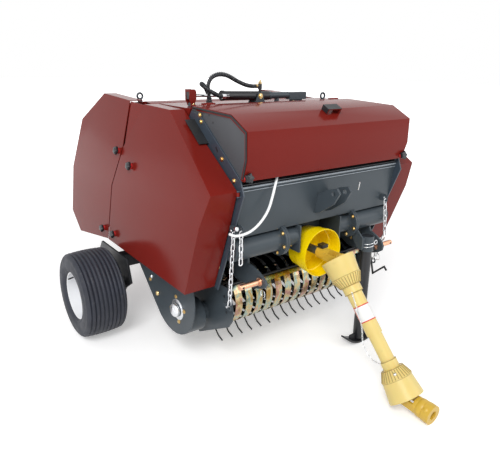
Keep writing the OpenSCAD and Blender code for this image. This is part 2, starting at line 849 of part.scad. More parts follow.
module upper_fork() {
    color([0.8, 0.65, 0.15]) machine() fork(joint_1, joint_2, guard_r - 3.5);
}

module lower_fork() {
    color([0.8, 0.65, 0.15]) machine() fork(joint_2, joint_1, guard_r - 7);
}

module shaft_yoke() {
    color([0.8, 0.65, 0.15]) machine() translate(joint_2) rotate([90 + yoke_droop, 0, 0]) difference() {
        union() {
            for (x = [-32, 22]) translate([x, -15, -14]) cube([10, 30, 62]);
            translate([0, 0, 46]) cylinder(r=34, h=40, $fn=64);
            translate([0, 0, 86]) cylinder(r=yoke_r, h=yoke_len - 86, $fn=64);
        }
        translate([0, 0, 60]) cylinder(r=17.5, h=80, $fn=64);
        rotate([0, 90, 0]) cylinder(r=8.2, h=80, center=true, $fn=32);
    }
}

side_walls();
front_posts();
front_panel();
twine_box();
front_roof();
front_rollers();
gearbox();
cross_tube();
hitch_plates();
hitch_pins();
top_link_bracket();
input_guard();
input_yoke();
axle_beam();
wheel_left_tyre();
wheel_left_rim();
wheel_right_tyre();
wheel_right_rim();
stand_sleeve();
stand_leg();
pickup_sides();
stripper_bands();
chain_guard();
reel();
tailgate_walls();
tailgate_skin();
tailgate_rollers();
rear_cover_left();
rear_cover_right();
front_cover_left();
front_cover_right();
hood_lid();
cylinder_mount();
cylinder_barrel();
cylinder_rod();
latch_lever();
front_lug();
rear_lug();
chain_hangers();
lift_chains();
barrel_hose();
rear_hose();
twine_tube();
hooked_lever();
shaft_upper();
upper_fork();
shaft_lower();
lower_fork();
shaft_yoke();
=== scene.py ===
import json
import math

import bmesh
import bpy
from mathutils import Matrix, Vector


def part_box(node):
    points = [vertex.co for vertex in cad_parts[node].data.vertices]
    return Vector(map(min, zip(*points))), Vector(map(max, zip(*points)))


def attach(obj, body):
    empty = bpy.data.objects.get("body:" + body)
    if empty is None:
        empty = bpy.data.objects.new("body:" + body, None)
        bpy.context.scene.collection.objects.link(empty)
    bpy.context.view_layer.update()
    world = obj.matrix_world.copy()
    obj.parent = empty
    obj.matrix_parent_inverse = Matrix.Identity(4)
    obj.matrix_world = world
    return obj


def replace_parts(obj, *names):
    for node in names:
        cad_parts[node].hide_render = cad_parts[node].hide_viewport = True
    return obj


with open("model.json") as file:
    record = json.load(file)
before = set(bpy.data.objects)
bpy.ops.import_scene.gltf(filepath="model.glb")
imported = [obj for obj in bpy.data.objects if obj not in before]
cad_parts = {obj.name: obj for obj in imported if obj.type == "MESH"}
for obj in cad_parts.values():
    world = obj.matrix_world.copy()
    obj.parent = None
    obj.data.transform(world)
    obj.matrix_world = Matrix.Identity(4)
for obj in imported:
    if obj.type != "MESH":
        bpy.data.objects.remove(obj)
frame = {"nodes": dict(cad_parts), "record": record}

MM = 0.001
scene = bpy.context.scene
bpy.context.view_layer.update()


# ---------------------------------------------------------------- places

# the wheels' axis is this far behind the covers' front corner, which all side-view places start from
AXLE_BEHIND_CORNER = 0.752
tyre_low, tyre_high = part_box("wheel_left_tyre")
CORNER_Y = (tyre_low.y + tyre_high.y) / 2 - AXLE_BEHIND_CORNER

COVER_X = 0.582
# the covers stand upright up to the ridge, and lean in by this much for each metre above it
RIDGE_Z = 0.7
COVER_LEAN = 0.2
POST_X = 0.440

X = Vector((1, 0, 0))
Y = Vector((0, 1, 0))
Z = Vector((0, 0, 1))
AHEAD = Vector((0, -1, 0))
SIDES = (-1, 1)
SIDE_NAME = {-1: "left", 1: "right"}
OUT = {side: Vector((side, 0, 0)) for side in SIDES}


def at(x, y, z):
    """The point at x, y metres behind the covers' front corner and z metres above the ground."""
    return Vector((x, CORNER_Y + y, z))


def cover_side(side, y, z):
    """The point on a side cover's outer face at the side-view place y, z."""
    return at(side * (COVER_X - COVER_LEAN * max(0.0, z - RIDGE_Z)), y, z)


def cover_normal(side, z):
    """The direction square to a side cover's face at the height z."""
    return Vector((side, 0, COVER_LEAN if z > RIDGE_Z else 0)).normalized()


# ---------------------------------------------------------------- camera

CAMERA_PLACE = (-1.447, -1.413, 1.258)
CAMERA_HEADING = math.radians(37.607)
CAMERA_DOWN = math.radians(18.176)
CAMERA_ROLL = math.radians(1.137)
CAMERA_LENS = 36.16
SENSOR_WIDTH = 36


def make_camera():
    """A camera where the photo was taken from."""
    ahead = Vector((math.sin(CAMERA_HEADING) * math.cos(CAMERA_DOWN),
                    math.cos(CAMERA_HEADING) * math.cos(CAMERA_DOWN), -math.sin(CAMERA_DOWN)))
    level = Vector((math.cos(CAMERA_HEADING), -math.sin(CAMERA_HEADING), 0))
    above = level.cross(ahead)
    c, s = math.cos(CAMERA_ROLL), math.sin(CAMERA_ROLL)
    right, up = c * level + s * above, c * above - s * level
    data = bpy.data.cameras.new("camera")
    data.lens = CAMERA_LENS
    data.sensor_width = SENSOR_WIDTH
    data.sensor_fit = "HORIZONTAL"
    data.clip_end = 100
    camera = bpy.data.objects.new("camera", data)
    scene.collection.objects.link(camera)
    turn = Matrix((right, up, -ahead)).transposed().to_4x4()
    camera.matrix_world = Matrix.Translation(at(*CAMERA_PLACE)) @ turn
    scene.camera = camera


make_camera()


# ---------------------------------------------------------------- materials

NOISE_ROUGHNESS = 0.55
DUST = (0.16, 0.15, 0.13)
BLACK = (0.012, 0.013, 0.016)


class Surface:
    """A Principled material and the nodes that vary it."""

    def __init__(self, name, **sockets):
        self.material = bpy.data.materials.new(name)
        self.material.use_nodes = True
        self.tree = self.material.node_tree
        self.shader = self.tree.nodes["Principled BSDF"]
        for socket, value in sockets.items():
            self.shader.inputs[socket.replace("_", " ")].default_value = value
        self.place = self.node("ShaderNodeTexCoord").outputs["Object"]

    def node(self, kind, **sockets):
        """A new node with its sockets set or linked; _ stands for a space in a socket's name."""
        n = self.tree.nodes.new(kind)
        for socket, value in sockets.items():
            self.put(n.inputs[socket.replace("_", " ")], value)
        return n

    def put(self, socket, value):
        """Links the socket to another node's output, or sets it to a plain value."""
        if isinstance(value, bpy.types.NodeSocket):
            self.tree.links.new(value, socket)
        else:
            socket.default_value = value

    def noise(self, scale, detail=3, stretch=None):
        """Noise over the piece's own coordinates."""
        place = self.place
        if stretch:
            mapping = self.node("ShaderNodeMapping", Vector=self.place, Scale=stretch)
            place = mapping.outputs["Vector"]
        n = self.node("ShaderNodeTexNoise", Vector=place, Scale=scale, Detail=detail,
                      Roughness=NOISE_ROUGHNESS)
        return n.outputs["Fac"]

    def ramp(self, factor, *stops):
        """A run of colours over the factor, from stops of (position, colour)."""
        n = self.node("ShaderNodeValToRGB", Fac=factor)
        elements = n.color_ramp.elements
        while len(elements) < len(stops):
            elements.new(0.5)
        for element, (position, colour) in zip(elements, stops):
            element.position = position
            element.color = (*colour, 1)
        return n.outputs["Color"]

    def span(self, factor, low, high, source=(0.3, 0.7)):
        """The factor's source range spread over low to high."""
        n = self.node("ShaderNodeMapRange", Value=factor)
        n.inputs["From Min"].default_value, n.inputs["From Max"].default_value = source
        n.inputs["To Min"].default_value, n.inputs["To Max"].default_value = low, high
        return n.outputs["Result"]

    def mix(self, factor, a, b):
        """Colour a where the factor is 0 and colour b where it is 1."""
        n = self.tree.nodes.new("ShaderNodeMix")
        n.data_type = "RGBA"
        self.put(n.inputs[0], factor)
        for socket, value in ((n.inputs[6], a), (n.inputs[7], b)):
            self.put(socket, value if isinstance(value, bpy.types.NodeSocket) else (*value, 1))
        return n.outputs[2]

    def math(self, operation, a, b):
        n = self.node("ShaderNodeMath")
        n.operation = operation
        self.put(n.inputs[0], a)
        self.put(n.inputs[1], b)
        return n.outputs[0]

    def worn_edges(self):
        """A factor that is 1 on convex edges, broken up by noise."""
        point = self.node("ShaderNodeNewGeometry").outputs["Pointiness"]
        edge = self.span(point, 0.0, 1.0, (0.56, 0.72))
        spots = self.span(self.noise(90, 4), 0.0, 1.0, (0.45, 0.62))
        return self.math("MULTIPLY", edge, spots)

    def bump(self, height, distance):
        """Relief in the shading, distance metres deep."""
        n = self.node("ShaderNodeBump", Height=height, Distance=distance, Strength=1.0)
        self.put(self.shader.inputs["Normal"], n.outputs["Normal"])

    def colour(self, value):
        self.put(self.shader.inputs["Base Color"], value)

    def roughness(self, value):
        self.put(self.shader.inputs["Roughness"], value)


def shade(colour, factor):
    """The colour made darker or lighter."""
    return tuple(min(1.0, c * factor) for c in colour)


def clouded(s, scale, detail, colour, darker, lighter):
    """The colour in soft clouds, from darker to lighter times itself."""
    return s.ramp(s.noise(scale, detail), (0.3, shade(colour, darker)), (0.7, shade(colour, lighter)))


def paint(name, colour, rough, edge=None, peel=0.000012, sheen=0.5):
    """Sprayed paint: soft clouds of tone, orange peel, specks of dust and slightly rubbed edges."""
    s = Surface(name, Metallic=0.0, Specular_IOR_Level=sheen)
    clouds = clouded(s, 2.3, 3, colour, 0.96, 1.04)
    specks = s.span(s.noise(160, 5), 0.0, 0.1, (0.68, 0.76))
    dusty = s.mix(specks, clouds, shade(colour, 1.35))
    s.colour(s.mix(s.worn_edges(), dusty, edge or shade(colour, 1.12)))
    s.roughness(s.span(s.noise(14, 4), *rough))
    s.bump(s.noise(420, 2), peel)
    return s.material


def plating(name, colours, rough, scale=24, stretch=(1, 1, 1), shade_above=None):
    """Plated metal: a run of tints over noise, with a brushed gloss. Above the given height it is painted
    black, as painted shade where the metal lies in shadow.
    """
    s = Surface(name, Metallic=1.0)
    last = len(colours) - 1
    stops = [(0.32 + 0.36 * i / max(1, last), c) for i, c in enumerate(colours)]
    tint = s.ramp(s.noise(scale, 5, stretch), *stops)
    # painted shade: the tint turns black above the given height, where the bands lie in shadow
    if shade_above:
        split = s.node("ShaderNodeSeparateXYZ")
        s.put(split.inputs[0], s.place)
        painted_shade = s.span(split.outputs["Z"], 0.0, 1.0, (shade_above - 0.006, shade_above + 0.006))
        tint = s.mix(painted_shade, tint, BLACK)
    s.colour(tint)
    s.roughness(s.span(s.noise(60, 4), *rough))
    s.bump(s.noise(500, 3, (1, 1, 6)), 0.00002)
    return s.material


def plastic(name, colour, rough, spread=0.05, subsurface=0.0, sheen=0.5):
    """Moulded plastic: nearly even colour, some grime and a fine grain."""
    s = Surface(name, Subsurface_Weight=subsurface, Subsurface_Scale=0.004, Specular_IOR_Level=sheen)
    clouds = clouded(s, 5, 3, colour, 1 - spread, 1 + spread)
    grime = s.span(s.noise(18, 6), 0.0, 0.35, (0.6, 0.8))
    s.colour(s.mix(grime, clouds, shade(colour, 0.55)))
    s.roughness(s.span(s.noise(30, 4), *rough))
    s.bump(s.noise(700, 2), 0.00002)
    return s.material


def rubber(name, colour, rough):
    """Rubber with a cloudy bloom, dusty in spots."""
    s = Surface(name)
    clouds = clouded(s, 9, 5, colour, 0.8, 1.3)
    s.colour(s.mix(s.span(s.noise(40, 6), 0.0, 0.3, (0.62, 0.8)), clouds, DUST))
    s.roughness(s.span(s.noise(25, 4), *rough))
    s.bump(s.noise(900, 3), 0.00008)
    return s.material


# name: (colour, smoothest and roughest value, other values)
PAINTS = {
    "red_paint": ((0.175, 0.014, 0.010), (0.15, 0.2), {"peel": 0.000003, "sheen": 0.1}),
    "grey_paint": ((0.053, 0.067, 0.079), (0.3, 0.4), {"peel": 0.000005, "sheen": 0.28}),
    "post_paint": ((0.040, 0.055, 0.075), (0.3, 0.42), {}),
    "cheek_paint": ((0.072, 0.076, 0.084), (0.4, 0.5), {"peel": 0.000005, "sheen": 0.28}),
    # painted highlight: pale paint for the panel's lip and bead, so that they read as lit edges
    "lip_paint": ((0.30, 0.34, 0.38), (0.25, 0.35), {}),
    "black_paint": (BLACK, (0.3, 0.45), {}),
    "white_paint": ((0.8, 0.81, 0.83), (0.3, 0.4), {"edge": (0.6, 0.61, 0.63)}),
    "gold_paint": ((0.62, 0.40, 0.045), (0.28, 0.42), {}),
}
PLASTICS = {
    "yellow_plastic": ((1.0, 0.72, 0.002), (0.22, 0.34), {"spread": 0.02, "sheen": 0.35}),
    "straw_plastic": ((0.72, 0.56, 0.19), (0.3, 0.42), {"spread": 0.04, "subsurface": 0.1}),
    # painted shade: a darker straw for the bells' ribs and rings, so that they read as shaded grooves
    "straw_shade": ((0.36, 0.26, 0.075), (0.35, 0.45), {"spread": 0.04}),
    "white_plastic": ((0.86, 0.87, 0.88), (0.3, 0.4), {"spread": 0.02}),
    "label_white": ((0.8, 0.8, 0.78), (0.35, 0.45), {"spread": 0.02}),
    "label_red": ((0.62, 0.02, 0.02), (0.35, 0.45), {"spread": 0.03}),
    "black_plastic": (BLACK, (0.25, 0.4), {}),
    "red_plastic": ((0.45, 0.02, 0.02), (0.3, 0.4), {}),
}
RUBBERS = {
    "tyre": ((0.018, 0.021, 0.032), (0.5, 0.7), {}),
    "black_rubber": ((0.008, 0.009, 0.011), (0.5, 0.7), {}),
    "hose_rubber": ((0.014, 0.016, 0.02), (0.35, 0.5), {}),
}
BAND_TINTS = [(0.34, 0.21, 0.06), (0.46, 0.35, 0.17), (0.24, 0.35, 0.33), (0.5, 0.4, 0.2),
              (0.38, 0.2, 0.18), (0.3, 0.22, 0.08)]
PLATINGS = {
    "copper_plate": ([(0.72, 0.36, 0.22), (0.85, 0.5, 0.33)], (0.24, 0.38), {}),
    "zinc": ([(0.55, 0.57, 0.6), (0.82, 0.83, 0.85), (0.66, 0.68, 0.7)], (0.25, 0.42), {}),
    "gold_zinc": ([(0.6, 0.42, 0.18), (0.72, 0.58, 0.32)], (0.25, 0.4), {}),
    # the bands are painted black above 0.384 m: painted shade where they lie in shadow behind the bar
    "yellow_zinc": (BAND_TINTS, (0.18, 0.32),
                    {"scale": 16, "stretch": (1.6, 0.7, 0.7), "shade_above": 0.384}),
    "chrome": ([(0.78, 0.79, 0.8), (0.86, 0.87, 0.88)], (0.05, 0.12), {}),
}
MAKERS = ((paint, PAINTS), (plastic, PLASTICS), (rubber, RUBBERS), (plating, PLATINGS))
MATERIALS = {name: make(name, colour, rough, **more)
             for make, table in MAKERS for name, (colour, rough, more) in table.items()}


# ---------------------------------------------------------------- shapes

WASHER_T = 0.0016


def turn_to(axis, up=None):
    """A rotation that takes +Z to axis, and +Y towards up if there is one."""
    axis = Vector(axis).normalized()
    if up is None:
        return axis.to_track_quat("Z", "Y").to_matrix()
    side = Vector(up).cross(axis).normalized()
    return Matrix((side, axis.cross(side), axis)).transposed()


def ring(middle, u, v, steps, start=0.0):
    """Points round middle, from middle + u towards middle + v; start is in steps."""
    angles = [math.tau * (k + start) / steps for k in range(steps)]
    return [middle + math.cos(t) * u + math.sin(t) * v for t in angles]


def ring_at(base, turn, r, h, steps):
    """A ring of radius r round turn's +Z axis, h along it from base."""
    u, v, w = turn.col
    return ring(base + h * w, r * u, r * v, steps)


class Shape:
    """Solids that are gathered into one mesh, and then made into a piece."""

    def __init__(self):
        self.bm = bmesh.new()

    def skin(self, rings, closed=False):
        """Joins rings of points, each as long as the next, into one surface with caps, unless it's closed."""
        rows = [[self.bm.verts.new(p) for p in ring] for ring in rings]
        n = len(rows[0])
        pairs = list(zip(rows, rows[1:])) + ([(rows[-1], rows[0])] if closed else [])
        for a, b in pairs:
            for k in range(n):
                self.bm.faces.new((a[k], a[(k + 1) % n], b[(k + 1) % n], b[k]))
        if not closed:
            self.bm.faces.new(rows[0][::-1])
            self.bm.faces.new(rows[-1])

    def lathe(self, base, axis, profile, steps, closed=False):
        """Turns a profile of (radius, height) points round the axis that leaves base."""
        turn = turn_to(axis)
        self.skin([ring_at(base, turn, r, h, steps) for r, h in profile], closed)

    def rod(self, a, b, r, steps, chamfer=0.0):
        """A round bar from a to b."""
        h = (b - a).length
        c = chamfer
        profile = [(r - c, 0), (r, c), (r, h - c), (r - c, h)] if c else [(r, 0), (r, h)]
        self.lathe(a, b - a, profile, steps)

    def prism(self, outline, base, axis, up, depth):
        """Pushes an outline of (u, v) points along axis; v points along up."""
        turn = turn_to(axis, up)
        self.skin([[base + turn @ Vector((u, v, h)) for u, v in outline] for h in (0, depth)])

    def block(self, low, high):
        """A box between two opposite corners."""
        (x0, y0, z0), (x1, y1, z1) = low, high
        self.skin([[Vector(p) for p in ((x0, y0, z), (x1, y0, z), (x1, y1, z), (x0, y1, z))]
                   for z in (z0, z1)])

    def tube(self, points, r, sides, closed=False):
        """A round wire along points."""
        last = len(points) - 1
        rings = []
        side = None
        for i, p in enumerate(points):
            before = points[i - 1] if (i or closed) else p
            after = points[(i + 1) % len(points)] if (i < last or closed) else p
            d = (after - before).normalized()
            if side is None:
                side = d.orthogonal().normalized()
            side = (side - side.dot(d) * d).normalized()
            rings.append(ring(p, r * side, r * side.cross(d), sides))
        self.skin(rings, closed)

    def bolt(self, base, axis, r, washer=True):
        """A hexagonal bolt head that stands on base, on its washer if it has one."""
        if washer:
            self.lathe(base, axis, [(r * 1.45, 0), (r * 1.5, 0.0004), (r * 1.45, WASHER_T)], 20)
            base = base + axis * WASHER_T
        self.lathe(base, axis, [(r, 0), (r, r * 0.55), (r * 0.86, r * 0.68)], 6)

    def piece(self, name, material, body="root", smooth=38):
        """Makes the piece; its edges are shaded smooth where they turn by less than smooth degrees."""
        bmesh.ops.recalc_face_normals(self.bm, faces=self.bm.faces)
        mesh = bpy.data.meshes.new(name)
        self.bm.to_mesh(mesh)
        self.bm.free()
        o = bpy.data.objects.new(name, mesh)
        scene.collection.objects.link(o)
        mesh.materials.append(MATERIALS[material])
        smooth_by_angle(mesh, smooth)
        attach(o, body)
        return o


def smooth_by_angle(mesh, degrees):
    """Shades smooth across the edges that turn by less than degrees, and sharp across the others."""
    bm = bmesh.new()
    bm.from_mesh(mesh)
    limit = math.radians(degrees)
    for f in bm.faces:
        f.smooth = True
    for e in bm.edges:
        e.smooth = len(e.link_faces) == 2 and e.calc_face_angle(0) < limit
    bm.to_mesh(mesh)
    bm.free()


NODE_BODY = {n: b for b, ns in frame["record"]["behaviour"]["bodies"].items() for n in ns}
ROUNDED_ANGLE = 30
WELD_GAP = 0.00002
FLAT_ANGLE = math.radians(0.6)


def dress(node, material, bevel):
    """Gives a CAD node its material, or a copy of it with rounded edges that stands for it."""
    source = frame["nodes"][node]
    if not bevel:
        source.data.materials.clear()
        source.data.materials.append(MATERIALS[material])
        return
    bm = bmesh.new()
    bm.from_mesh(source.data)
    bmesh.ops.remove_doubles(bm, verts=bm.verts, dist=WELD_GAP)
    bmesh.ops.dissolve_limit(bm, angle_limit=FLAT_ANGLE, verts=bm.verts, edges=bm.edges)
    mesh = bpy.data.meshes.new(node + "_shape")
    bm.to_mesh(mesh)
    bm.free()
    o = bpy.data.objects.new(node + "_shape", mesh)
    scene.collection.objects.link(o)
    mesh.materials.append(MATERIALS[material])
    smooth_by_angle(mesh, ROUNDED_ANGLE)
    m = o.modifiers.new("rounded", "BEVEL")
    m.width = bevel
    m.segments = 2
    m.limit_method = "ANGLE"
    m.angle_limit = math.radians(ROUNDED_ANGLE)
    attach(o, NODE_BODY[node])
    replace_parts(o, node)


# ---------------------------------------------------------------- cords

# routes as (x, distance behind the covers' front corner, height), in millimetres
BARREL_HOSE = [(-52, 370, 1151), (-76, 370, 1151), (-100, 368, 1154), (-124, 366, 1160),
               (-148, 363, 1168), (-172, 360, 1177), (-196, 356, 1187), (-220, 353, 1196),
               (-244, 351, 1201), (-266, 349, 1201), (-286, 347, 1196), (-302, 346, 1188),
               (-313, 345, 1175), (-318, 345, 1158), (-318, 345, 1140), (-315, 345, 1122),
               (-310, 345, 1104), (-308, 345, 1090), (-308, 345, 1082)]
REAR_HOSE = [(-252, 338, 1115), (-268, 336, 1117), (-285, 332, 1122), (-304, 327, 1130),
             (-322, 325, 1138), (-334, 332, 1148), (-339, 348, 1157), (-335, 366, 1162),
             (-324, 384, 1163), (-308, 400, 1159), (-291, 412, 1149), (-277, 420, 1133),
             (-268, 424, 1115), (-264, 426, 1097), (-264, 426, 1082)]
TWINE_TUBE = [(-240, -12, 866), (-253, -25, 862), (-265, -37, 856), (-275, -45, 845),
              (-282, -49, 831), (-288, -51, 815), (-295, -53, 796), (-303, -55, 776),
              (-312, -57, 755), (-323, -58, 735), (-337, -58, 716), (-354, -58, 699),
              (-374, -58, 684), (-396, -58, 673), (-419, -58, 667), (-443, -58, 665),
              (-467, -58, 667), (-482, -58, 673), (-492, -58, 679)]
HOSE_R = 0.0065
HOSE_SIDES = 14
WRAP_R = 0.0018
WRAP_PITCH = 0.0085
TWINE_TUBE_R = 0.005


def route(points):
    """A listed route in metres."""
    return [at(x * MM, y * MM, z * MM) for x, y, z in points]


def smooth_route(points, steps=4):
    """More points on the smooth curve through points."""
    out = []
    last = len(points) - 1
    for i in range(last):
        p0, p1 = points[max(i - 1, 0)], points[i]
        p2, p3 = points[i + 1], points[min(i + 2, last)]
        for k in range(steps):
            t = k / steps
            out.append(0.5 * (2 * p1 + (p2 - p0) * t + (2 * p0 - 5 * p1 + 4 * p2 - p3) * t * t
                              + (3 * p1 - p0 - 3 * p2 + p3) * t ** 3))
    return out + [points[last]]


def path_length(points):
    """The length of a path in metres."""
    return sum((b - a).length for a, b in zip(points, points[1:]))


def along_path(points, spacing):
    """Points at even distances along a path."""
    total = path_length(points)
    n = max(2, int(total / spacing))
    out, i, run = [], 0, 0.0
    for k in range(n + 1):
        goal = total * k / n
        while i < len(points) - 2 and run + (points[i + 1] - points[i]).length < goal:
            run += (points[i + 1] - points[i]).length
            i += 1
        step = points[i + 1] - points[i]
        out.append(points[i] + step * min(1.0, (goal - run) / step.length))
    return out


def helix_round(points, r, pitch, per_turn=10):
    """A helix of radius r round a path."""
    dense = along_path(points, pitch / per_turn)
    out = []
    side = (dense[1] - dense[0]).orthogonal().normalized()
    for i, p in enumerate(dense):
        d = (dense[min(i + 1, len(dense) - 1)] - dense[max(i - 1, 0)]).normalized()
        side = (side - side.dot(d) * d).normalized()
        t = math.tau * i / per_turn
        out.append(p + r * (math.cos(t) * side + math.sin(t) * side.cross(d)))
    return out


def make_hose(name, points):
    """A hose with a spiral guard wound round it."""
    path = smooth_route(route(points))
    wrap = Shape()
    wrap.tube(helix_round(path, HOSE_R + WRAP_R * 0.6, WRAP_PITCH), WRAP_R, 6)
    guard = wrap.piece(name + "_guard", "hose_rubber")
    tube = Shape()
    tube.tube(path, HOSE_R, HOSE_SIDES)
    hose = tube.piece(name + "_tube", "hose_rubber")
    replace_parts(hose, name)


def make_twine_tube():
    """The white tube that leads the twine from the hood to the left, with a free end."""
    path = smooth_route(route(TWINE_TUBE))
    tube = Shape()
    tube.tube(path, TWINE_TUBE_R, HOSE_SIDES)
    o = tube.piece("twine_tube_pipe", "white_plastic")
    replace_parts(o, "twine_tube")


make_hose("barrel_hose", BARREL_HOSE)
make_hose("rear_hose", REAR_HOSE)
make_twine_tube()


# ---------------------------------------------------------------- CAD nodes that keep their shape

# (node, material, rounding of its edges in millimetres)
DRESS = [
    ("side_walls", "red_paint", 0), ("front_posts", "post_paint", 0.8), ("front_panel", "grey_paint", 1.2),
    ("twine_box", "cheek_paint", 0.8), ("front_roof", "red_paint", 0.8), ("front_rollers", "grey_paint", 0),
    ("gearbox", "grey_paint", 3), ("cross_tube", "grey_paint", 0.8), ("hitch_plates", "grey_paint", 1),
    ("hitch_pins", "copper_plate", 1), ("top_link_bracket", "grey_paint", 1),
    ("input_guard", "yellow_plastic", 0), ("input_yoke", "gold_paint", 1.5),
    ("axle_beam", "black_paint", 1.5),
    ("wheel_left_rim", "white_paint", 0), ("wheel_right_rim", "white_paint", 0),
    ("stand_sleeve", "grey_paint", 1), ("stand_leg", "black_paint", 1), ("pickup_sides", "grey_paint", 1),
    ("stripper_bands", "yellow_zinc", 0), ("chain_guard", "grey_paint", 1), ("reel", "black_paint", 0),
    ("tailgate_walls", "red_paint", 0), ("tailgate_skin", "red_paint", 0.8),
    ("tailgate_rollers", "grey_paint", 0),
    ("rear_cover_left", "red_paint", 1), ("rear_cover_right", "red_paint", 1),
    ("front_cover_left", "red_paint", 1), ("front_cover_right", "red_paint", 1), ("hood_lid", "red_paint", 1),
    ("cylinder_mount", "grey_paint", 0.6), ("cylinder_barrel", "black_paint", 0.6),
    ("cylinder_rod", "chrome", 0), ("latch_lever", "red_paint", 0.6), ("front_lug", "grey_paint", 0),
    ("rear_lug", "grey_paint", 0), ("chain_hangers", "grey_paint", 0),
    ("hooked_lever", "black_paint", 1), ("shaft_upper", "straw_plastic", 0), ("upper_fork", "gold_paint", 0),
    ("shaft_lower", "straw_plastic", 0), ("lower_fork", "gold_paint", 0), ("shaft_yoke", "gold_paint", 1),
]

for node, material, rounding in DRESS:
    dress(node, material, rounding * MM)


# ---------------------------------------------------------------- tyres

TYRE_R = 0.202
TYRE_W = 0.195
SHOULDER_W = 0.022
RIBS = 8
GROOVE_W = 0.007
GROOVE_DEPTH = 0.006
CROWN_DROP = 0.004
# the wall from the bead out to the shoulder, as (radius, distance in from the tyre's side)
WALL = [(0.111, 0.016), (0.115, 0.009), (0.122, 0.004), (0.126, 0.0055), (0.130, 0.0025), (0.150, 0),
        (0.165, 0.0005), (0.176, 0.003), (0.178, 0.002), (0.184, 0.004), (0.192, 0.009), (0.197, 0.016)]


def make_tyre(node):
    """A ribbed implement tyre: ribs round the tread, a shoulder, rings on the wall and a bead."""
    low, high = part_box(node)
    half = TYRE_W / 2
    tread = half - SHOULDER_W
    rib = 2 * tread / RIBS
    profile = [(r, d - half) for r, d in WALL]
    for i in range(RIBS):
        h0 = -tread + i * rib
        h1 = h0 + rib
        crown = TYRE_R - CROWN_DROP * ((i + 0.5 - RIBS / 2) / (RIBS / 2)) ** 2
        bottom = crown - GROOVE_DEPTH
        profile += [(bottom, h0 + 0.0005), (crown - 0.001, h0 + GROOVE_W / 2),
                    (crown, h0 + GROOVE_W / 2 + 0.0015), (crown, h1 - GROOVE_W / 2 - 0.0015),
                    (crown - 0.001, h1 - GROOVE_W / 2), (bottom, h1 - 0.0005)]
    profile += [(r, half - d) for r, d in reversed(WALL)]
    s = Shape()
    s.lathe((low + high) / 2, X, profile, 120, closed=True)
    o = s.piece(node + "_ribbed", "tyre", NODE_BODY[node], smooth=50)
    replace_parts(o, node)


make_tyre("wheel_left_tyre")
make_tyre("wheel_right_tyre")


# ---------------------------------------------------------------- chains

LINK_STEPS = 6


def link_line(middle, turn, half, straight):
    """The middle line of one oval link; turn takes its length to +Z."""
    points = []
    for end in (1, -1):
        for k in range(LINK_STEPS + 1):
            t = math.pi * k / LINK_STEPS
            points.append(middle + turn @ Vector((end * half * math.cos(t), 0,
                                                  end * (half * math.sin(t) + straight))))
    return points


def tipped(d):
    """The turn that tips +Z over to d and leaves +X in its plane with Z."""
    d = d.normalized()
    return Matrix.Rotation(math.atan2(d.x, d.z), 3, "Y") @ Matrix.Rotation(-math.asin(d.y), 3, "X")


def quarter(i):
    """The quarter turn that every second link has."""
    return Matrix.Rotation(math.pi / 2 * (i % 2), 3, "Z")


LINK_PITCH = 0.026
LINK_HALF = 0.007
LINK_STRAIGHT = 0.009
LINK_WIRE = 0.0026
# from the middle of the pin that a chain hangs on to the middle of its end link
SEAT = 0.0205

HOLE = {-1: at(-0.453, -0.028, 0.675), 1: at(0.384, -0.036, 0.675)}
FOOT = {side: at(side * 0.430, 0.030, 0.338) for side in SIDES}
RIGHT_BEND = at(0.407, -0.038, 0.500)
CHECK_HOLE, CHECK_END = at(-0.426, -0.036, 0.675), at(-0.426, -0.036, 0.5525)


def seated(pin, to):
    """The middle of the end link that hangs on the pin and pulls towards to."""
    return pin + SEAT * (to - pin).normalized()


CHAIN_ROUTES = [
    [seated(HOLE[-1], FOOT[-1]), seated(FOOT[-1], HOLE[-1])],
    [seated(CHECK_HOLE, CHECK_END), CHECK_END],
    [seated(HOLE[1], RIGHT_BEND), RIGHT_BEND, seated(FOOT[1], RIGHT_BEND)],
]


def make_lift_chains():
    """The pickup's two lift chains and the short check chain on the left."""
    s = Shape()
    for points in CHAIN_ROUTES:
        for leg, (a, b) in enumerate(zip(points, points[1:])):
            n = 2 * round((b - a).length / LINK_PITCH / 2)
            for i in range(1 if leg else 0, n + 1):
                turn = tipped(a - b) @ quarter(i)
                middle = a + (b - a) * i / n
                s.tube(link_line(middle, turn, LINK_HALF, LINK_STRAIGHT), LINK_WIRE, 8, True)
    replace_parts(s.piece("chain_links", "zinc", smooth=60), "lift_chains")


make_lift_chains()


# ---------------------------------------------------------------- knobs and bolts

KNOB_R = 0.0165
KNOB_LOBE = 0.0028
KNOB_STEPS = 30
# (share of the knob's radius, height)
KNOB_RINGS = [(0.72, 0.0065), (0.95, 0.009), (1.0, 0.012), (1.0, 0.018), (0.86, 0.0215), (0.45, 0.0235)]


def make_knob(name, body, p, axis):
    """A black star knob on a red collar, standing on p."""
    collar = Shape()
    collar.lathe(p, axis, [(0.0125, 0), (0.0135, 0.001), (0.0135, 0.005), (0.0115, 0.0065)], 24)
    collar.piece(name + "_collar", "red_plastic", body)
    outline = []
    for k in range(KNOB_STEPS):
        t = math.tau * k / KNOB_STEPS
        r = KNOB_R + KNOB_LOBE * math.cos(5 * t)
        outline.append(Vector((r * math.cos(t), r * math.sin(t), 0)))
    turn = turn_to(axis)
    star = Shape()
    star.skin([[p + turn @ (share * q + h * Z) for q in outline] for share, h in KNOB_RINGS])
    star.piece(name + "_star", "black_plastic", body)


# (cover, distance behind the covers' front corner, height)
COVER_KNOBS = [("rear", 0.730, 0.860), ("rear", 0.889, 0.458),
               ("front", 0.583, 0.816), ("front", 0.761, 0.463)]

for side in SIDES:
    for i, (cover, y, z) in enumerate(COVER_KNOBS):
        make_knob(f"knob_{cover}_{SIDE_NAME[side]}_{i}", f"{cover}_cover_{SIDE_NAME[side]}",
                  cover_side(side, y, z), cover_normal(side, z))
    make_knob(f"knob_hood_{SIDE_NAME[side]}", "hood", at(side * 0.426, -0.0655, 0.870), (0, -1, 0.28))


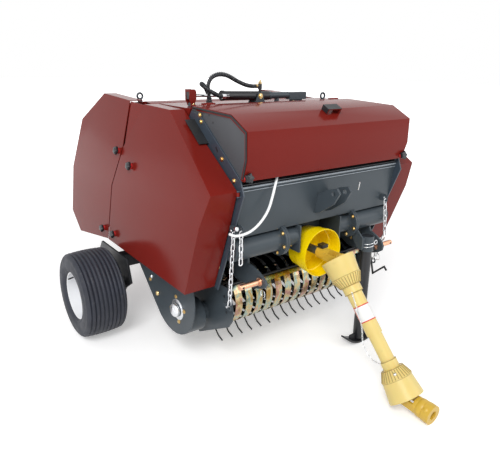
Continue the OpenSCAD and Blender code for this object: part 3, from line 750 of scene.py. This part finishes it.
# side-view places are pairs: (distance behind the covers' front corner, height)
POST_BOLTS = [(0.212, 1.060), (0.205, 1.036), (0.0667, 0.918), (-0.0084, 0.853), (0.046, 0.660),
              (0.090, 0.492)]
POST_SLOT = (0.100, 0.948)
POST_SLOPE = (0, 0.6, 0.8)
CHEEK_X = 0.434
CHEEK_HOLES = [(0.160, 1.064), (0.134, 1.040), (0.020, 0.900)]


def make_post_bolts():
    """Gold bolts on each post, and black patches for the slot on each post and the holes in the twine box's
    cheeks: painted shade for their dark insides.
    """
    bolts, slots = Shape(), Shape()
    for side in SIDES:
        for y, z in POST_BOLTS:
            bolts.bolt(at(side * POST_X, y, z), OUT[side], 0.0062)
        slots.prism([(-0.004, -0.010), (0.004, -0.010), (0.004, 0.010), (-0.004, 0.010)],
                    at(side * POST_X, *POST_SLOT), OUT[side], POST_SLOPE, 0.0004)
        for y, z in CHEEK_HOLES:
            slots.lathe(at(side * CHEEK_X, y, z), OUT[side], [(0.0042, 0), (0.0042, 0.0004)], 14)
    bolts.piece("post_bolts", "gold_zinc")
    slots.piece("post_slots", "black_paint")


make_post_bolts()


# ---------------------------------------------------------------- rubber, seams and bars

HOOD_EDGE_X = 0.4395
HOOD_EDGE = [(0.262, 1.0835), (0.014, 1.0745), (-0.0745, 1.0285), (-0.0765, 0.934), (-0.0585, 0.868)]


def make_hood_edge_shadow():
    """A black tube along each of the hood's side edges: partly the hood's dark edge, partly painted shadow
    under its overhang.
    """
    s = Shape()
    for side in SIDES:
        s.tube([at(side * HOOD_EDGE_X, y, z) for y, z in HOOD_EDGE], 0.0036, 8)
    s.piece("hood_edge_shadow", "black_rubber", "hood")


FLAP = [(0.252, 1.0415), (0.153, 0.9635), (0.1545, 0.962), (0.2535, 1.040)]
FLAP_X = (0.4402, 0.482)


def make_cover_flaps():
    """The flap over each front cover's slope."""
    s = Shape()
    for side in SIDES:
        s.skin([[at(side * x, y, z) for y, z in FLAP] for x in FLAP_X])
    s.piece("cover_flaps", "black_rubber")


# (distance behind the covers' front corner, height, how deep the corner is sunk)
SEAM_CORNERS = [(0.5425, 1.0715, 0.0075), (0.6785, 1.0785, 0.0045), (0.6835, 0.8935, 0.0045)]
SEAM_T = 0.0015


def make_seam_filler(side):
    """The sunk plate in the wedge between the front and the rear cover."""
    s = Shape()
    s.skin([[cover_side(side, y, z) - (sunk + t) * OUT[side] for y, z, sunk in SEAM_CORNERS]
            for t in (0, SEAM_T)])
    s.piece(f"seam_filler_{SIDE_NAME[side]}", "red_paint", f"rear_cover_{SIDE_NAME[side]}")


def make_panel_lip():
    """The lip across the front panel's top, and the bead below it, both painted pale as painted highlights."""
    s = Shape()
    for z, r, steps in ((0.829, 0.0038, 16), (0.816, 0.0016, 12)):
        s.rod(at(-CHEEK_X, -0.035, z), at(CHEEK_X, -0.035, z), r, steps)
    s.piece("panel_lip", "lip_paint")


BAND_BAR = (0.1015, 0.3935)


def make_band_bar():
    """The bar across the stripper bands."""
    s = Shape()
    s.rod(at(-0.395, *BAND_BAR), at(0.395, *BAND_BAR), 0.0055, 16)
    s.piece("band_bar", "black_paint")


# a dark sheet behind the pickup that stands in for the shade behind the bands: painted shade
SHADE_SHEET = [(0.490, 0.105), (0.490, 0.386), (0.530, 0.412), (0.530, 0.414), (0.488, 0.388), (0.488, 0.105)]
SHADE_SHEET_HALF = 0.399


def make_shade_sheet():
    """A black sheet behind the pickup, bent back at its top: painted shade, put there to darken the space
    behind the stripper bands.
    """
    s = Shape()
    s.prism(SHADE_SHEET, at(-SHADE_SHEET_HALF, 0, 0), X, Z, 2 * SHADE_SHEET_HALF)
    s.piece("shade_sheet", "black_rubber")


HANDLE = at(0.022, -0.004, 1.072)
HANDLE_SLOPE = math.radians(27.5)
# the bent strap seen from the front: (across, above the hood)
STRAP = [(-0.0368, 0.004), (-0.0368, 0.0248), (0.0368, 0.0248), (0.0368, 0.004),
         (0.036, 0.004), (0.036, 0.024), (-0.036, 0.024), (-0.036, 0.004)]


def make_handle_strap():
    """The black strap over the hood's handle."""
    s = Shape()
    turn = Matrix.Rotation(HANDLE_SLOPE, 3, "X")
    s.skin([[HANDLE + turn @ Vector((x, y, z)) for x, z in STRAP] for y in (-0.0204, 0.0144)])
    s.piece("handle_strap", "black_paint", "hood")


make_hood_edge_shadow()
make_cover_flaps()
for side in SIDES:
    make_seam_filler(side)
make_panel_lip()
make_band_bar()
make_shade_sheet()
make_handle_strap()


# ---------------------------------------------------------------- drive side

DISC_X = -0.520
HUB = (0.280, 0.250)
# the cap's profile, as (radius, height)
HUB_CAP = [(0.030, -0.004), (0.0305, 0), (0.030, 0.004), (0.026, 0.010), (0.018, 0.0145), (0.008, 0.0165)]
CHAIN_PIN = (0.5115, 0.319)
DOME_NUT = (0.458, 0.255)
DISC_BOLTS = [(0.292, 0.3045), (0.271, 0.196), (0.226, 0.262), (0.334, 0.238), (0.528, 0.298)]
PICKUP_HOLES = [(0.085, 0.285), (0.100, 0.350), (0.420, 0.180)]
# the guard's round edge: middle, radius, and its first angle and step in degrees
EDGE_MIDDLE = (0.331, 0.314)
EDGE_R = 0.188
EDGE_START, EDGE_STEP, EDGE_POINTS = 100, 12, 20


def make_drive_details():
    """The hub cap, bolts and rolled edge on the pickup's drive side, and black discs for the holes in the
    pickup's left side plate: painted shade for their dark insides.
    """
    cap = Shape()
    cap.lathe(at(-0.532, *HUB), -X, HUB_CAP, 40)
    cap.lathe(at(-0.5195, *HUB), -X, [(0.046, 0), (0.046, 0.002), (0.044, 0.003)], 40)
    cap.lathe(at(DISC_X, *CHAIN_PIN), -X, [(0.008, 0), (0.009, 0.003), (0.006, 0.008), (0.003, 0.009)], 20)
    cap.piece("hub_cap", "zinc")
    bolts = Shape()
    for y, z in DISC_BOLTS:
        bolts.bolt(at(DISC_X, y, z), -X, 0.0065)
    bolts.lathe(at(DISC_X, *DOME_NUT), -X, [(0.010, 0), (0.011, 0.003), (0.008, 0.009), (0.004, 0.011)], 24)
    bolts.piece("drive_bolts", "gold_zinc")
    edge = Shape()
    middle = at(DISC_X + 0.001, *EDGE_MIDDLE)
    angles = [math.radians(EDGE_START + EDGE_STEP * k) for k in range(EDGE_POINTS)]
    edge.tube([middle + EDGE_R * (math.cos(t) * Y + math.sin(t) * Z) for t in angles], 0.0018, 8)
    edge.piece("drive_guard_edge", "grey_paint")
    holes = Shape()
    for y, z in PICKUP_HOLES:
        holes.lathe(at(-0.405, y, z), -X, [(0.0065, 0), (0.0065, 0.0005)], 18)
    holes.piece("pickup_holes", "black_paint")


make_drive_details()


# ---------------------------------------------------------------- hitch

HITCH_PIN = (-0.049, 0.455)
# the stand's middle seen from above: (x, distance behind the covers' front corner)
STAND = (0.262, -0.056)
CROSS_TUBE = (0.020, 0.580)
FLANGE_R = 0.054
GEARBOX_BOLTS = [(0.030, 0.535), (0.100, 0.535), (0.030, 0.610), (0.100, 0.610), (0.170, 0.575)]
PLATE_BOLTS = [(0.045, 0.445), (0.100, 0.455)]


def make_pin_holes():
    """A black disc on the front of each hitch pin: painted shade for the dark inside of its bore."""
    s = Shape()
    for side in SIDES:
        tip = at(side * 0.428, *HITCH_PIN) + 0.0112 * AHEAD
        s.lathe(tip, AHEAD, [(0.0045, 0), (0.0045, 0.0006)], 16)
    s.piece("pin_holes", "black_paint")


def make_hitch_clips():
    """Linch pins' rings, the chains' pin heads, the stand's spring clip and the top link's pin."""
    s = Shape()
    for side in SIDES:
        linch_ring = ring(at(side * 0.338, -0.062, 0.408), Vector((0.002, 0.015, 0)), 0.015 * Z, 20)
        s.tube(linch_ring, 0.0013, 8, True)
        for pin in (HOLE[side], FOOT[side]):
            s.bolt(pin + Vector((side * 0.003, 0.012, -0.002)), OUT[side], 0.005, washer=False)
    ear = CHECK_HOLE + Vector((-0.034, -0.012, 0.014))
    s.lathe(ear, (0, -1, 0.2), [(0.0085, 0), (0.009, 0.004), (0.0085, 0.010), (0.005, 0.013)], 8)
    for z in (0.496, 0.482):
        s.tube(ring(at(*STAND, z), Vector((0.0312, 0, 0.004)), 0.0312 * Y, 28), 0.0017, 8, True)
    s.tube(ring(at(0.303, -0.072, 0.489), 0.009 * X, 0.009 * Z, 20), 0.0022, 8, True)
    s.tube([at(-0.405, 0.010, 0.428), at(-0.4055, -0.020, 0.440), at(-0.404, -0.052, 0.4425)], 0.0016, 8)
    s.rod(at(0.082, -0.135, 0.806), at(0.092, -0.122, 0.772), 0.0024, 10)
    s.piece("hitch_clips", "zinc")


def make_flange_bolts():
    """Bolts on both faces of the cross tube's flanges, on the gearbox and on the hitch plates."""
    s = Shape()
    for side in SIDES:
        for middle in ring(at(0, *CROSS_TUBE), FLANGE_R * Y, FLANGE_R * Z, 6, start=0.3):
            s.bolt(middle + 0.212 * OUT[side], OUT[side], 0.0062)
            s.bolt(middle + 0.192 * OUT[side], OUT[-side], 0.0062)
        for y, z in GEARBOX_BOLTS:
            s.bolt(at(side * 0.120, y, z), OUT[side], 0.006)
        for y, z in PLATE_BOLTS:
            s.bolt(at(side * 0.333, y, z), OUT[-side], 0.006)
    s.piece("flange_bolts", "gold_zinc")


def make_yoke_block():
    """The black block under the input yoke, and the cap on the right hitch plate."""
    s = Shape()
    s.block(at(-0.016, -0.052, 0.519), at(0.016, -0.022, 0.534))
    s.lathe(at(0.310, -0.052, 0.452), (0.4, -1, 0), [(0.013, 0), (0.014, 0.004), (0.011, 0.010)], 24)
    s.piece("yoke_block", "black_plastic")


make_pin_holes()
make_hitch_clips()
make_flange_bolts()
make_yoke_block()


# ---------------------------------------------------------------- drive shaft

JOINT_1 = at(0, -0.123, 0.494)
JOINT_2 = at(0.025, -0.502, 0.046)
SHAFT = (JOINT_2 - JOINT_1).normalized()
TO_CAMERA = at(*CAMERA_PLACE) - JOINT_1
TO_CAMERA = (TO_CAMERA - TO_CAMERA.dot(SHAFT) * SHAFT).normalized()
TO_LEFT = SHAFT.cross(TO_CAMERA)


def on_shaft(h, angle, r):
    """The point h metres down the shaft, r from its middle, angle degrees left of the camera's side."""
    t = math.radians(angle)
    return JOINT_1 + h * SHAFT + r * (math.cos(t) * TO_CAMERA + math.sin(t) * TO_LEFT)


def wrap_patch(s, h0, h1, a0, a1, r, depth=0.0004, steps=28):
    """A thin patch round the shaft, from h0 to h1 along it and from a0 to a1 degrees round it."""
    corners = ((h0, r), (h1, r), (h1, r + depth), (h0, r + depth))
    angles = [a0 + (a1 - a0) * k / steps for k in range(steps + 1)]
    s.skin([[on_shaft(h, a, radius) for h, radius in corners] for a in angles])


def make_bell_details(name, body, base, axis, collar_r):
    """The bell's ribs, the rings at both their ends and the ring on its collar, in a darker straw: painted
    shade, so that they read as grooves.
    """
    s = Shape()
    turn = turn_to(axis)
    for wide, narrow in zip(ring_at(base, turn, 0.0615, 0.080, 30), ring_at(base, turn, 0.0440, 0.1175, 30)):
        s.rod(wide, narrow, 0.0016, 6)
    for r, h in ((0.0608, 0.0775), (0.0440, 0.1185), (collar_r, 0.1500)):
        s.tube(ring_at(base, turn, r, h, 48), 0.0013, 8, True)
    s.piece(name, "straw_shade", body)


# the label lies from LABEL_TOP to LABEL_END along the shaft, and between two angles in degrees round it
LABEL_TOP, LABEL_END = 0.205, 0.272
LABEL_FROM, LABEL_TO = -150, 72
BORDER_W = 0.004
BORDER_ANGLE = 8


def make_warning_label():
    """A blank white label with a red border."""
    paper, border = Shape(), Shape()
    wrap_patch(paper, LABEL_TOP, LABEL_END, LABEL_FROM, LABEL_TO, 0.0321)
    paper.piece("warning_label", "label_white", "shaft_upper")
    for strip in ((LABEL_TOP, LABEL_TOP + BORDER_W, LABEL_FROM, LABEL_TO),
                  (LABEL_END - BORDER_W, LABEL_END, LABEL_FROM, LABEL_TO),
                  (LABEL_TOP, LABEL_END, LABEL_TO - BORDER_ANGLE, LABEL_TO),
                  (LABEL_TOP, LABEL_END, LABEL_FROM, LABEL_FROM + BORDER_ANGLE)):
        wrap_patch(border, *strip, 0.0326)
    border.piece("warning_label_border", "label_red", "shaft_upper")


# (distance down the shaft, angle round it, distance from its middle)
GUARD_CHAIN = [(0.146, 10, 0.0415), (0.175, 20, 0.0365), (0.225, 36, 0.0355), (0.268, 54, 0.0360),
               (0.300, 74, 0.0420), (0.335, 96, 0.0560), (0.372, 106, 0.0630), (0.405, 96, 0.0570),
               (0.428, 74, 0.0430), (0.437, 58, 0.0385)]
BEAD_PITCH = 0.0085
BEAD_HALF = 0.0024
BEAD_STRAIGHT = 0.0034
BEAD_WIRE = 0.0009


def make_guard_chain():
    """The thin safety chain that hangs beside the guard."""
    s = Shape()
    beads = along_path(smooth_route([on_shaft(*p) for p in GUARD_CHAIN]), BEAD_PITCH)
    for i, (a, b) in enumerate(zip(beads, beads[1:])):
        turn = tipped(a - b) @ quarter(i)
        s.tube(link_line((a + b) / 2, turn, BEAD_HALF, BEAD_STRAIGHT), BEAD_WIRE, 5, True)
    s.piece("guard_chain", "zinc", "shaft_upper", smooth=60)


def make_grease_cap():
    """The cap over the grease nipple, near the outer joint."""
    s = Shape()
    s.lathe(JOINT_2 - 0.1 * SHAFT + 0.0525 * TO_CAMERA, TO_CAMERA,
            [(0.0055, 0), (0.006, 0.002), (0.003, 0.006)], 16)
    s.piece("grease_cap", "zinc", "shaft_lower")


make_bell_details("upper_bell_ribs", "shaft_upper", JOINT_1, SHAFT, 0.038)
make_bell_details("lower_bell_ribs", "shaft_lower", JOINT_2, -SHAFT, 0.033)
make_warning_label()
make_guard_chain()
make_grease_cap()


YOKE_DROOP = math.radians(3.6)
YOKE = Vector((0, -math.cos(YOKE_DROOP), -math.sin(YOKE_DROOP)))
SPLINE_R = 0.0172


def make_yoke_end():
    """The quick-release collar on the end yoke, with its lugs, splines and bearing caps."""
    s = Shape()
    u, v, _ = turn_to(YOKE).col
    s.lathe(JOINT_2, YOKE, [(0.0345, 0.060), (0.0365, 0.064), (0.0365, 0.080), (0.0345, 0.084)], 48)
    nowhere = Vector((0, 0, 0))
    for c in ring(nowhere, u, v, 3, start=0.15):
        s.lathe(JOINT_2 + 0.098 * YOKE + 0.033 * c, c, [(0.010, 0), (0.010, 0.006), (0.006, 0.009)], 18)
    for c in ring(nowhere, SPLINE_R * u, SPLINE_R * v, 6):
        s.rod(JOINT_2 + 0.062 * YOKE + c, JOINT_2 + 0.116 * YOKE + c, 0.003, 8)
    for side in SIDES:
        s.lathe(JOINT_2 + 0.032 * OUT[side], OUT[side],
                [(0.013, -0.001), (0.0135, 0.001), (0.012, 0.003), (0.004, 0.0035)], 24)
    s.piece("yoke_collar", "gold_paint", "shaft_yoke")


make_yoke_end()


# ---------------------------------------------------------------- roof

# places seen from above are pairs: (x, distance behind the covers' front corner)
HOSE_GLANDS = [(-0.308, 0.345), (-0.264, 0.426)]
ROOF_BOLTS = [(0.140, 0.340), (0.222, 0.400), (-0.070, 0.325), (-0.030, 0.325)]
# profiles are lists of (radius, height)
SIDE_FITTING = [(0.0095, 0), (0.0105, 0.003), (0.0105, 0.014), (0.0085, 0.020), (0.0085, 0.032), (0.006, 0.046)]
GLAND = [(0.0095, -0.005), (0.0105, -0.003), (0.0105, 0.006), (0.0095, 0.008)]


def make_roof_details():
    """The cylinder's fittings, the bolts and the hoses' glands on the roof."""
    rear = Shape()
    rear.lathe(at(-0.256, 0.338, 1.115), X, SIDE_FITTING, 6)
    rear.piece("rear_hose_fitting", "zinc", "barrel")
    top = Shape()
    top.lathe(at(-0.034, 0.370, 1.160), Z, [(0.008, 0), (0.0085, 0.002), (0.0085, 0.009), (0.006, 0.011)], 6)
    for x, y in ((-0.038, 0.362), (-0.030, 0.376)):
        top.rod(at(x, y, 1.168), at(x, y, 1.178), 0.0022, 10)
    top.lathe(at(-0.050, 0.370, 1.151), -X, [(0.0095, 0), (0.0095, 0.008), (0.008, 0.010)], 6)
    top.piece("barrel_fitting", "gold_zinc", "barrel")
    bolts = Shape()
    bolts.bolt(at(-0.050, 0.343, 1.111), AHEAD, 0.008)
    bolts.bolt(at(-0.385, 0.348, 1.086), AHEAD, 0.006, washer=False)
    for x, y in ROOF_BOLTS:
        bolts.bolt(at(x, y, 1.081), Z, 0.006)
    bolts.piece("roof_bolts", "gold_zinc")
    clevis = Shape()
    clevis.block(at(-0.3985, 0.3600, 1.1060), at(-0.3640, 0.3800, 1.1330))
    clevis.piece("rod_clevis", "black_paint", "rod")
    glands = Shape()
    for x, y in HOSE_GLANDS:
        glands.lathe(at(x, y, 1.086), Z, GLAND, 24)
    glands.piece("hose_glands", "black_rubber")


make_roof_details()


# ---------------------------------------------------------------- wheels

NUTS = 5
NUT_CIRCLE_R = 0.046
NUT_START = 0.3


def make_wheel_details(node, side):
    """The valve and the wheel nuts on the wheel's outer side."""
    low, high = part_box(node)
    middle = (low + high) / 2
    body = NODE_BODY[node]
    face = TYRE_W / 2 * OUT[side]
    valve = Shape()
    foot = middle + face * 0.62 + Vector((0, 0.070, 0.062))
    valve.rod(foot, foot + face * 0.28 + Vector((0, -0.003, -0.003)), 0.0035, 12, 0.0008)
    valve.piece(node + "_valve", "black_rubber", body)
    nuts = Shape()
    for k in range(NUTS):
        t = math.tau * k / NUTS + NUT_START
        seat = Vector((side * -0.0015, NUT_CIRCLE_R * math.cos(t), NUT_CIRCLE_R * math.sin(t)))
        nuts.bolt(middle + seat, OUT[side], 0.008)
    nuts.piece(node + "_nuts", "white_paint", body)


make_wheel_details("wheel_left_tyre", -1)
make_wheel_details("wheel_right_tyre", 1)


# ---------------------------------------------------------------- stage and light

def seen_directly(tree):
    """1 for what the camera sees itself or as a reflection, 0 for light that lands on something."""
    rays = tree.nodes.new("ShaderNodeLightPath")
    seen = tree.nodes.new("ShaderNodeMath")
    seen.operation = "MAXIMUM"
    tree.links.new(rays.outputs["Is Camera Ray"], seen.inputs[0])
    tree.links.new(rays.outputs["Is Glossy Ray"], seen.inputs[1])
    return seen.outputs[0]


def floor_glow(s):
    """A glow that only the camera and shiny things see: it lifts the floor to white, more so far off."""
    distance = s.node("ShaderNodeVectorMath")
    distance.operation = "LENGTH"
    s.put(distance.inputs[0], s.place)
    glow = s.span(distance.outputs["Value"], 0.34, 1.0, (1.5, 6.0))
    return s.math("MULTIPLY", glow, seen_directly(s.tree))


FLOOR_HALF = 30
FLOOR_DROP = 0.001


def make_stage():
    """A white floor just under the wheels."""
    s = Surface("floor")
    s.colour(s.ramp(s.noise(1.2), (0.3, (0.86, 0.86, 0.86)), (0.7, (0.9, 0.9, 0.9))))
    s.roughness(s.span(s.noise(3), 0.7, 0.8))
    s.put(s.shader.inputs["Emission Color"], (1, 1, 1, 1))
    s.put(s.shader.inputs["Emission Strength"], floor_glow(s))
    mesh = bpy.data.meshes.new("floor")
    corners = [(-1, -1), (1, -1), (1, 1), (-1, 1)]
    mesh.from_pydata([(x * FLOOR_HALF, y * FLOOR_HALF, 0) for x, y in corners], [], [(0, 1, 2, 3)])
    mesh.materials.append(s.material)
    floor = bpy.data.objects.new("floor", mesh)
    scene.collection.objects.link(floor)
    floor.location.z = -FLOOR_DROP


WORLD_LIGHT = 0.55
WORLD_SEEN = 1.0


def make_world():
    """A white world that looks brighter than it shines."""
    world = bpy.data.worlds.new("world")
    world.use_nodes = True
    tree = world.node_tree
    background = tree.nodes["Background"]
    strength = tree.nodes.new("ShaderNodeMapRange")
    strength.inputs["To Min"].default_value = WORLD_LIGHT
    strength.inputs["To Max"].default_value = WORLD_SEEN
    tree.links.new(seen_directly(tree), strength.inputs["Value"])
    tree.links.new(strength.outputs["Result"], background.inputs["Strength"])
    background.inputs["Color"].default_value = (1, 1, 1, 1)
    scene.world = world


LIT_PLACE = Vector((0, 0, 0.6))
LIGHT_SIZE = 3.0


def area_light(name, place, power):
    """A square lamp at place that points at the baler's middle."""
    data = bpy.data.lights.new(name, "AREA")
    data.shape = "SQUARE"
    data.size = LIGHT_SIZE
    data.energy = power
    o = bpy.data.objects.new(name, data)
    scene.collection.objects.link(o)
    o.location = place
    o.rotation_euler = (LIT_PLACE - Vector(place)).to_track_quat("-Z", "Y").to_euler()


make_stage()
make_world()
area_light("key", (-4.0, -3.5, 5.0), 320)
area_light("fill", (3.5, -4.5, 3.0), 60)
scene.view_settings.view_transform = "Standard"
